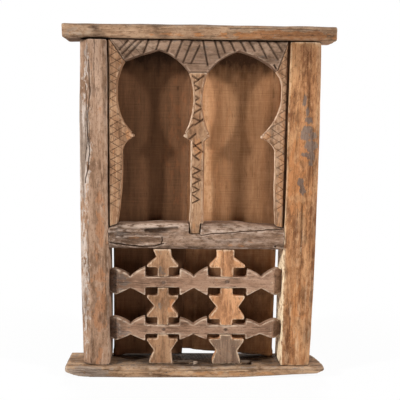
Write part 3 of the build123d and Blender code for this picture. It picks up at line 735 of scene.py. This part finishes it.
# Carving on the arched board: corners of each line, as X and Z on its front
HEAD_GROOVES = (
    ((-140.5, 689.3), (-156.6, 672.4)), ((-123.6, 691.5), (-150.8, 664.6)),
    ((-111.7, 691.7), (-145.7, 655.8)), ((-99.5, 691.9), (-109.5, 666.2)),
    ((-78.5, 691.4), (-84.5, 672.5)), ((-54.6, 691.8), (-62.5, 670.9)),
    ((-32.4, 692.2), (-46.2, 657.3)), ((-13.5, 692.5), (-31, 649.8)),
    ((0.8, 681.7), (-14.9, 648.1)), ((7.6, 692.8), (17.6, 644.7)),
    ((30.3, 693.2), (40.9, 659.8)), ((42.3, 691.4), (51.8, 669.8)),
    ((60.4, 693.6), (70.9, 673)), ((80.6, 693.9), (92.1, 673.3)),
    ((97.7, 694.2), (110.3, 673.6)), ((117, 692.6), (134.9, 660)),
    ((134, 692.9), (156.4, 658.4)), ((153.2, 691.2), (164.9, 674.4)))
HEAD_CROSS_GROOVES = (
    ((-157.5, 692.1), (-125, 655)), ((-141, 692), (-112, 661)),
    ((-172, 690), (-140, 657)))
CAP_GROOVES = (
    ((-15.7, 630.8), (14, 630.8)), ((-22, 647), (21, 646.5)))
SPRINGER_NOTCHES = (
    ((-141.5, 643.5), (-145.5, 647)), ((149.8, 646.5), (154, 639.5)))
SHAFT_GROOVES = (
    ((-9.7, 609), (9.5, 623.2)), ((-12.7, 622.8), (-0.3, 615.6)),
    ((-7.1, 604.6), (1.9, 599.6), (-8.4, 593.2)), ((-6.2, 583.2), (1, 579.8), (-9.1, 572.9)),
    ((-4.7, 568.4), (4.4, 563.2)), ((-13.8, 546.6), (4.6, 557.9)),
    ((-12.8, 541.8), (3.4, 534.3)), ((-6.6, 526.4), (10.1, 538)),
    ((-18.7, 519.3), (-10.2, 526.4)), ((-16.9, 498.4), (-4.9, 508.5)),
    ((-10.8, 490.4), (9.6, 472.6)), ((-11.1, 481.2), (6.3, 491.4)),
    ((-12.3, 467.3), (2.7, 456.4)), ((-4.4, 465.2), (4.6, 471.3)))
SHAFT_ZIGZAG_SPAN = (366, 452)
SHAFT_ZIGZAG_STEP = 10

# Jambs: node, X beside the post, X beside the light, seed, the notches in the cusp's tip,
# and the joint line where the jamb meets the arch head
JAMBS = (
    ("left_jamb", -176, -120, 67, ((-131, 508.5), (-130.5, 499)),
     ((-175.5, 692), (-148.6, 653))),
    ("right_jamb", 176, 120, 71, ((132.5, 507), (131.5, 499)),
     ((176.6, 692), (157, 636))))
JAMB_HATCH_SPAN = (366, 690)
HATCH_PITCH = 17.5
HATCH_SLOPE = 0.58

# Notches in the tips of the cusps: half sizes, Y of their middle and how far they go in.
# The colonnette's have their own X, Z and push.
CUSP_NOTCH_REACH = (5, 30, 2.2)
CUSP_NOTCH_Y = -16
JAMB_NOTCH_DEPTH = 3.2
SHAFT_NOTCHES = ((-28, 508.7, 4), (-29, 499, 3), (20, 508, -3))

# Saw marks across the sill's top, as X and Y: where the first one runs, and their pitch
SAW_MARK_NUMBER = 12
SAW_MARK_PITCH = 7
SAW_MARK_BACK = (-54, 36)
SAW_MARK_FRONT = (-45, 2)

# Lattice: rails with the height of their middles and their seeds
LATTICE_RAILS = (("lattice_rail_upper", 201.3, 81), ("lattice_rail_lower", 99.5, 83))

# Pegs at the lattice's crossings, as X and Z: each is turned from a profile of Y and share of
# the radius, and lies in a hollow of the rail's front
PEG_PLACES = ((-68, 200.5), (64.4, 203.7), (-66.8, 99.5), (63.5, 100))
PEG_RADIUS = 3.3
PEG_SIDES = 10
PEG_PROFILE = ((-24.9, 0), (-25, 0.55), (-24.6, 0.9), (-23.8, 1), (-9, 0.92), (-8.6, 0))
PEG_SEED = 19
HOLLOW_Y = -25.4
HOLLOW_REACH = (6, 4, 4.6)
HOLLOW_DEPTH = 1.6


def hatch(start_x, end_x, seed):
    """Two crossing families of slanting lines, a little uneven as cut by hand."""
    draw = np.random.default_rng(seed)
    lines = []
    width = end_x - start_x
    start, stop = JAMB_HATCH_SPAN
    while start < stop:
        for sign in (-1.0, 1.0):
            tilt = sign * HATCH_SLOPE * width * draw.uniform(0.85, 1.15)
            level = start + draw.normal(0.0, 1.2)
            lines.append(((start_x, level), (end_x, level + tilt)))
        start += HATCH_PITCH * draw.uniform(0.88, 1.12)
    return lines


def zigzag(left, right, step, seed):
    """One line that runs up between two edges, turning at each."""
    draw = np.random.default_rng(seed)
    corners = []
    height, top = SHAFT_ZIGZAG_SPAN
    while height < top:
        edge = right if len(corners) % 2 else left
        corners.append((edge + draw.normal(0.0, 0.8), height))
        height += step * draw.uniform(0.85, 1.15)
    return corners


def make_left_post():
    """Left post: one long ragged crack beside its grey outer facet."""
    post = Timber("left_post", Z_AXIS, seed=11, voxel=2.7)
    each(post.crack,
         (FRONT, ((-216.7, 650.5), (-216.1, 612), (-215.5, 583), (-218.7, 553), (-220.2, 514),
                  (-216.6, 474), (-220, 438), (-226.3, 408)), 0.9, 4),
         (FRONT, ((-223, 602), (-221.7, 553), (-220.4, 494), (-225.8, 454)), 0.6, 2),
         (FRONT, ((-205, 690), (-207, 640), (-204, 590)), 0.6, 1),
         (FRONT, ((-221, 330), (-222, 250), (-219, 200)), 0.8, 1.4))
    each(post.checks, (FRONT, 5, 60, 0.6, 1), (LEFT, 8, 90), (BACK, 12, 110, 1, 2))
    each(post.stain_and_paint_light,
         ("grey", (-234, 480), (20, 120), 0.75), ("grey", (-230, 210), (11, 170), 0.55),
         ("grey", (-222, 640), (8, 60), 0.45), ("grey", (20, 380), (60, 330), 0.55, LEFT),
         ("dark", (-208, 680), (44, 50), 0.22), ("dark", (-236, 640), (8, 60), 0.25),
         ("warm", (-196, 330), (9, 60), 0.4), ("warm", (-200, 160), (14, 130), 0.34),
         ("dark", (-198, 126), (4, 9), 0.7), ("dark", (-186, 560), (3, 60), 0.35))
    post.hew(1.9, across=18, along=90, ridges=0.35)
    post.bend(X_AXIS, Z_AXIS, ((0, 1.6), (290, 1.6), (325, 0)), X_AXIS, -200, -183)
    wood = wood_material("left_post_wood", Z_AXIS, LEFT_POST_TONES, grey_from=1.3)
    post.finish(wood, "left_post_wood", wear_gain=0.25)


def make_right_post():
    """Right post: orange brown, with bare grey patches and an inner face made bright by a painted
    highlight.
    """
    post = Timber("right_post", Z_AXIS, seed=23, voxel=2.7)
    post.bend(X_AXIS, Z_AXIS, ((0, -3), (300, -3), (420, 0)), Y_AXIS, -32, 30)
    for x, z, half_x, half_z in POST_GREY_PATCHES:
        post.stain_and_paint_light("grey", (x, z), (half_x, half_z), 0.72)
    for x, z, half_x, half_z in POST_DARK_SPOTS:
        post.stain_and_paint_light("dark", (x, z), (half_x, half_z), 0.6)
    each(post.stain_and_paint_light,
         ("warm", (205, 440), (22, 110), 0.3), ("warm", (212, 150), (20, 100), 0.25),
         # The pale on the inner, left-facing face is a painted highlight, and the pale strip along the
         # front's left arris is wear and partly a painted highlight
         ("wear", (182, 150), (2.5, 130), 0.5), ("wear", (0, 150), (60, 150), 2.2, LEFT),
         ("dark", (205, 690), (50, 60), 0.42), ("dark", (244, 640), (9, 90), 0.25))
    post.crack(FRONT, ((214, 372), (215, 300), (213, 262)), width=0.7, depth=1.4)
    each(post.checks, (FRONT, 6, 50, 0.6, 1), (RIGHT, 8, 90), (BACK, 12, 110, 1, 2))
    post.hew(1.7, across=20, along=90, ridges=0.35)
    wood = wood_material("right_post_wood", Z_AXIS, RIGHT_POST_TONES, grey_from=1.26, warm_from=1.1)
    post.finish(wood, "right_post_wood", wear_gain=0.4)


def make_beam():
    """Top beam, with knots and orange streaks."""
    beam = Timber("top_beam", X_AXIS, seed=37, voxel=2.6)
    each(beam.crack,
         (FRONT, ((60, 714.5), (118, 715.4), (197, 714.7), (236, 714)), 0.8, 1.6),
         (FRONT, ((120, 704), (190, 703), (250, 705)), 0.6, 1))
    each(beam.checks,
         (FRONT, 5, 60, 0.6, 1), (TOP, 14, 120, 1, 2), (BACK, 10, 120, 1, 2))
    each(beam.stain_and_paint_light,
         ("dark", (-199, 698), (16, 5), 0.7), ("dark", (-205, 711), (9, 4.5), 0.9),
         ("dark", (-67, 699), (9, 4), 0.6), ("dark", (-84, 718), (12, 4), 0.8),
         ("dark", (20, 721), (5, 3), 0.6), ("warm", (160, 702), (100, 9), 0.62),
         ("dark", (215, 715), (60, 6), 0.45), ("dark", (205, 706), (90, 18), 0.42),
         # The dark on the underside of the left end is painted shade
         ("dark", (-240, 0), (44, 60), 0.8, BOTTOM), ("wear", (-228, 706), (36, 9), 0.5),
         ("warm", (-40, 702), (90, 4), 0.3), ("grey", (-240, 704), (30, 9), 0.3),
         ("grey", (0, 0), (300, 60), 0.4, TOP))
    upper_edge = ((-268, -1.5), (-193, -2), (-115, -0.2), (40, -0.3), (118, -0.9), (197, -0.6), (272, 0))
    lower_edge = ((-268, 0), (-236, 0.5), (-224, 2.6), (-182, 2.8), (-170, 1.8), (120, 1.8), (272, 1))
    beam.bend(Z_AXIS, X_AXIS, upper_edge, Z_AXIS, 707, 722)
    beam.bend(Z_AXIS, X_AXIS, lower_edge, Z_AXIS, 707, 692)
    beam.hew(1.7, across=16, along=55, ridges=0.35)
    beam.finish(wood_material("beam_wood", X_AXIS, BEAM_TONES), "beam_wood", wear_gain=0.35)


def make_sill():
    """Sill: dusty and darkened with painted shade on its top, with saw marks, a pale scratch, and
    painted shade where its mortise holes are.
    """
    sill = Timber("sill", X_AXIS, seed=41, voxel=2.6)
    front_line = ((-244, 20.5), (-208, 17), (-157, 15), (-73, 14), (10, 17), (94, 18.5), (178, 19))
    sill.crack(FRONT, front_line, width=0.7, depth=1)
    each(sill.checks, (FRONT, 5, 60, 0.6, 0.9), (TOP, 20, 110, 0.8, 1.2))
    for number in range(SAW_MARK_NUMBER):
        along = np.array((SAW_MARK_PITCH * number, 0))
        sill.cut(TOP, [along + SAW_MARK_BACK, along + SAW_MARK_FRONT], width=0.9, depth=0.7, soot=0.8)
    each(sill.stain_and_paint_light,
         # The dark spots at X -28 and 110 on the top are painted shade standing in for the mortise
         # holes, and the broad dark over the top is painted shade
         ("wear", (0, -14), (4, 8), 1.4, TOP), ("dark", (-28, -16), (16, 10), 1.6, TOP),
         ("dark", (110, -17), (9, 7), 1.6, TOP), ("grey", (0, 12), (60, 20), 0.8, LEFT),
         ("grey", (-225, 10), (50, 14), 0.5), ("grey", (0, 0), (300, 60), 0.3, TOP),
         ("dark", (20, 8), (190, 44), 1.05, TOP), ("dark", (0, -34), (250, 4), 0.2, TOP),
         ("warm", (60, 9), (170, 6), 0.3))
    sill.hew(1, across=18, along=70)
    sill.finish(wood_material("sill_wood", X_AXIS, SILL_TONES), "sill_wood", wear_gain=0.4)


def make_mid_rail():
    """Rounded middle rail with its long split and worn ends."""
    rail = Timber("mid_rail", X_AXIS, seed=53, voxel=2)
    each(rail.crack,
         (FRONT, ((-13.8, 308.3), (4.6, 306.4), (8.7, 301.2), (31, 305.6), (64, 308), (99, 311),
                  (133, 313.7), (177, 316)), 1.3, 3.2),
         (FRONT, ((-177, 285), (-146, 279.5), (-116, 277.8), (-85, 277.5), (-69, 284)), 1.9, 4.2),
         (FRONT, ((-165, 300), (-120, 304), (-70, 303)), 0.6, 1))
    each(rail.cut,
         (FRONT, ((-104, 312), (-84, 314.5), (-66, 314.2), (-40, 316.5)), 4.2, 4.2, 0.9),
         (FRONT, ((-71, 297), (-70, 290), (-73, 284)), 2.2, 2.6, 0.9))
    each(rail.checks, (FRONT, 6, 45, 0.6, 1), (BACK, 10, 80, 1, 2))
    rail.cut(FRONT, ((161.8, 279.5), (162.8, 279.5)), width=2.4, depth=4.5)
    each(rail.stain_and_paint_light,
         # The dark over the slot at Z 312.5 is painted shade in it, and the dark along the bottom at Z
         # 273 painted shade under the rail
         ("dark", (-84, 312.5), (26, 6), 1.3), ("dark", (-168, 282), (16, 12), 0.6),
         ("dark", (-160, 300), (34, 40), 0.6), ("dark", (-40, 273), (150, 6), 0.5),
         ("warm", (-110, 296), (34, 6), 0.26), ("warm", (160, 302), (26, 10), 0.16),
         ("warm", (95, 284), (60, 7), 0.26), ("wear", (70, 289), (70, 7), 0.35),
         # The pale bands along the top, at Z 318 and 321, are wear and a painted highlight
         ("wear", (90, 318), (80, 6), 0.5), ("grey", (-160, 308), (18, 14), 0.4),
         ("wear", (-85, 321), (70, 5), 1.1))
    for x, z, half_x, half_y, half_z, depth in RAIL_HOLLOWS:
        rail.dent((x, RAIL_FRONT, z), (half_x, half_y, half_z), (0, depth, 0))
    rail.bend(Y_AXIS, X_AXIS, ((-180, 9), (-60, 8), (0, 6), (180, 7)), Z_AXIS, 296, 271.5)
    rail.bend(Y_AXIS, X_AXIS, ((-180, 6), (180, 6)), Z_AXIS, 312, 326)
    rail.bend(Z_AXIS, X_AXIS, RAIL_END_DROP, Z_AXIS, 299, 326)
    rail.hew(2.4, across=12, along=42, ridges=0.5)
    wood = wood_material("rail_wood", X_AXIS, RAIL_TONES, grey_from=1.22, warm_from=1.16, marks=1.2)
    rail.finish(wood, "rail_wood", wear_gain=0.9)


def make_arch_head():
    """Arch head: deep rays above the lights, and the cap of the colonnette."""
    head = Timber("arch_head", X_AXIS, seed=61, voxel=1.7)
    for grooves, width, depth, soot in (
            (HEAD_GROOVES, 3.4, 3.2, 0.95), (HEAD_CROSS_GROOVES, 1.3, 1, 0.7),
            (CAP_GROOVES, 1.4, 1.2, 0.8), (SPRINGER_NOTCHES, 2.4, 4.5, 1)):
        for groove in grooves:
            head.cut(FRONT, groove, width, depth, soot)
    each(head.stain_and_paint_light,
         ("dark", (0, 668), (46, 26), 0.2), ("wear", (-120, 682), (44, 12), 0.42),
         ("wear", (130, 682), (36, 12), 0.25))
    head.hew(1.1, across=13, along=34, ridges=0.3)
    wood = wood_material("carved_head_wood", X_AXIS, HEAD_TONES, grey_from=1.06, warm_from=1.2)
    head.finish(wood, "carved_wood", wear_gain=0.5)


def make_jambs(wood):
    """Both jambs: fine crossed hatching, and a notched cusp towards the light."""
    for node, post_x, light_x, seed, tips, head_joint in JAMBS:
        side = math.copysign(1.0, post_x)
        jamb = Timber(node, Z_AXIS, seed, voxel=1.7)
        for line in hatch(post_x, light_x, seed):
            jamb.cut(FRONT, line, width=1.3, depth=1.1, soot=0.75)
        jamb.cut(FRONT, head_joint, width=1.8, depth=2.6)
        for x, z in tips:
            jamb.dent((x, CUSP_NOTCH_Y, z), CUSP_NOTCH_REACH, (JAMB_NOTCH_DEPTH * side, 0, 0))
        jamb.stain_and_paint_light("warm", (138.0 * side, 506), (9, 12), 0.5)
        jamb.stain_and_paint_light("wear", (132.0 * side, 503), (5, 6), 0.4)
        jamb.bend(Z_AXIS, X_AXIS, RAIL_END_DROP, Z_AXIS, 345, 326)
        if side > 0:
            jamb.bend(X_AXIS, Z_AXIS, ((300, -1.6), (700, -1.6)), X_AXIS, 168, 178)
            # The pale on the right jamb's left-facing edge is a painted highlight
            each(jamb.stain_and_paint_light,
                 ("wear", (-8, 480), (11, 160), 1.5, LEFT), ("warm", (172, 450), (8, 130), 0.4),
                 ("wear", (152, 480), (26, 190), 0.24))
        else:
            jamb.stain_and_paint_light("dark", (-150, 640), (26, 60), 0.2)
        jamb.hew(1, across=13, along=40, ridges=0.3)
        jamb.finish(wood, "carved_wood", wear_gain=0.3)


def make_colonnette(wood):
    """Colonnette: chip cuts above and below its cusps, and a zigzag further down."""
    shaft = Timber("colonnette", Z_AXIS, seed=73, voxel=1.4)
    for groove in SHAFT_GROOVES:
        shaft.cut(FRONT, groove, width=3, depth=3.4, soot=0.85)
    deep_line = zigzag(-13, 5, SHAFT_ZIGZAG_STEP, seed=73)
    shaft.cut(FRONT, deep_line, width=2.4, depth=2.8, soot=0.95)
    fine_line = zigzag(4, -9, 1.3 * SHAFT_ZIGZAG_STEP, seed=74)
    shaft.cut(FRONT, fine_line, width=0.9, depth=0.8, soot=0.5)
    for x, z, push in SHAFT_NOTCHES:
        shaft.dent((x, CUSP_NOTCH_Y, z), CUSP_NOTCH_REACH, (push, 0, 0))
    each(shaft.stain_and_paint_light,
         ("warm", (2, 478), (9, 22), 0.6), ("wear", (-28, 505), (6, 9), 0.9),
         # On the left-facing side, the pale front part is a painted highlight and the dark back part
         # painted shade
         ("wear", (-8, 470), (11, 150), 1.5, LEFT), ("dark", (9, 450), (11, 150), 0.6, LEFT))
    shaft.hew(0.6, across=14, along=50, ridges=0.2)
    shaft.finish(wood, "carved_wood", wear_gain=0.35)


def make_lattice_rails():
    """Bow-tie rails, with a hollow round each peg."""
    wood = wood_material("lattice_rail_wood", X_AXIS, LATTICE_RAIL_TONES)
    for node, middle, seed in LATTICE_RAILS:
        rail = Timber(node, X_AXIS, seed, voxel=1.8)
        rail.checks(FRONT, 4, length=30, width=0.5, depth=0.8)
        each(rail.stain_and_paint_light,
             # The dark at X -178 and 178, beside the posts, is painted shadow of the posts
             ("grey", (-160, middle), (22, 30), 0.3), ("dark", (-178, middle), (30, 40), 0.7),
             ("dark", (178, middle), (8, 34), 0.5))
        if node == "lattice_rail_lower":
            rail.stain_and_paint_light("dark", (0, middle), (220, 40), 0.16)
        for x, z in PEG_PLACES:
            if abs(z - middle) < PEG_RADIUS:
                rail.dent((x, HOLLOW_Y, z), HOLLOW_REACH, (0, HOLLOW_DEPTH, 0))
                rail.stain_and_paint_light("dark", (x, z), (6, 2.6), 0.6)
        rail.hew(1.2, across=13, along=36, ridges=0.3)
        rail.finish(wood, "lattice_wood")


def make_star_bars():
    """Star bars, the left one with warm and grey stars, the right one golden with a grey foot."""
    for node, seed, wood, planned_patches in (
            ("lattice_bar_left", 87,
             wood_material("left_bar_wood", Z_AXIS, LEFT_BAR_TONES, grey_from=1.1),
             (("warm", (-48, 150), (10, 14), 0.6), ("grey", (-74, 225), (10, 16), 0.4),
              ("grey", (-72, 150), (9, 12), 0.3), ("dark", (-66, 30), (40, 36), 0.14))),
            ("lattice_bar_right", 89,
             wood_material("right_bar_wood", Z_AXIS, RIGHT_BAR_TONES, grey_from=1.2),
             (("grey", (64, 40), (60, 52), 0.85), ("dark", (64, 34), (60, 44), 0.22)))):
        bar = Timber(node, Z_AXIS, seed, voxel=1.8)
        bar.checks(FRONT, 3, length=25, width=0.5, depth=0.8)
        each(bar.stain_and_paint_light, *planned_patches)
        bar.hew(1.2, across=13, along=36, ridges=0.3)
        bar.finish(wood, "lattice_wood")


def make_pegs():
    """Short whittled pegs through the lattice's crossings, sunk a little below the rails' fronts."""
    draw = np.random.default_rng(PEG_SEED)
    form = bmesh.new()
    for x, z in PEG_PLACES:
        facets = draw.uniform(0.84, 1.12, PEG_SIDES)
        rings = []
        for depth, share in PEG_PROFILE:
            if share == 0.0:
                rings.append([form.verts.new(Vector((x, depth, z)) * MM)])
                continue
            ring = []
            for side in range(PEG_SIDES):
                turn = 2.0 * math.pi * side / PEG_SIDES
                reach = PEG_RADIUS * share * facets[side]
                place = (x + reach * math.cos(turn), depth + draw.uniform(-0.1, 0.1),
                         z + reach * math.sin(turn))
                ring.append(form.verts.new(Vector(place) * MM))
            rings.append(ring)
        for before, after in zip(rings[:-1], rings[1:]):
            for side in range(PEG_SIDES):
                follow = (side + 1) % PEG_SIDES
                if len(before) == 1:
                    form.faces.new((before[0], after[side], after[follow]))
                elif len(after) == 1:
                    form.faces.new((before[side], after[0], before[follow]))
                else:
                    form.faces.new((before[side], after[side], after[follow], before[follow]))
    bmesh.ops.recalc_face_normals(form, faces=form.faces)
    mesh = bpy.data.meshes.new("lattice_pegs")
    form.to_mesh(mesh)
    form.free()
    pegs = bpy.data.objects.new("lattice_pegs", mesh)
    scene.collection.objects.link(pegs)
    mesh.materials.append(wood_material("peg_wood", Y_AXIS, PEG_TONES))
    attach(pegs, "root")


def start_leaf(node, seed):
    """One plain board leaf, with fine checks in front and open ones at the back."""
    leaf = Timber(node, Z_AXIS, seed, voxel=3.6)
    each(leaf.checks, (FRONT, 3, 90, 0.6, 0.8), (BACK, 12, 140, 1, 1.6))
    return leaf


def finish_leaf(leaf, name, tones, grey_from):
    """Planes a leaf and finishes it in sawn wood."""
    leaf.hew(1, across=30, along=180)
    wood = wood_material(name, Z_AXIS, tones, grey_from, marks=0.5, sawn=True)
    leaf.finish(wood, "shutter_wood", wear_gain=0.3)


def make_left_leaf():
    """Left leaf: dark brown, with painted shade under the arch and in a band beside the jamb, and grey
    at the back.
    """
    leaf = start_leaf("left_shutter", seed=91)
    each(leaf.stain_and_paint_light,
         # The dark at the top, Z 702, is painted shade under the arch head, and the dark strip at X -146
         # a painted shade band
         ("warm", (-45, 500), (30, 160), 0.22), ("dark", (-90, 702), (120, 56), 1.3),
         ("dark", (-146, 470), (22, 160), 0.22), ("grey", (-90, 350), (140, 420), 0.5, BACK))
    leaf.bend(X_AXIS, Z_AXIS, ((0, -1.5), (260, -1.5), (300, 0)), X_AXIS, -130, -168)
    finish_leaf(leaf, "left_leaf_wood", LEFT_LEAF_TONES, grey_from=1.2)


def make_right_leaf():
    """Right leaf: golden beside the colonnette, with painted shade under the arch, behind the lattice,
    in bands and at its right.
    """
    leaf = start_leaf("right_shutter", seed=97)
    each(leaf.stain_and_paint_light,
         ("wear", (18, 480), (5, 120), 0.7), ("wear", (27, 380), (7, 40), 0.6),
         # The dark at the top, Z 702, is painted shade under the arch head
         ("warm", (50, 450), (24, 150), 0.25), ("dark", (80, 702), (120, 60), 1.5),
         ("grey", (60, 350), (140, 420), 0.6, BACK), ("dark", (60, 350), (140, 420), 0.3, BACK),
         # The dark low down at Z 140 is painted shade behind the lattice, and the strips at X 156 and
         # 118 painted shade bands
         ("dark", (80, 140), (130, 110), 0.75), ("dark", (156, 440), (16, 170), 0.5),
         ("dark", (118, 450), (26, 180), 0.22))
    finish_leaf(leaf, "right_leaf_wood", RIGHT_LEAF_TONES, grey_from=1.24)


make_camera()
make_world()
make_floor()
each(make_lamp, *LAMPS)
make_left_post()
make_right_post()
make_beam()
make_sill()
make_mid_rail()
make_arch_head()
jamb_wood = wood_material("carved_jamb_wood", Z_AXIS, JAMB_TONES)
make_jambs(jamb_wood)
make_colonnette(jamb_wood)
make_lattice_rails()
make_star_bars()
make_pegs()
make_left_leaf()
make_right_leaf()

scene.view_settings.view_transform = "Standard"
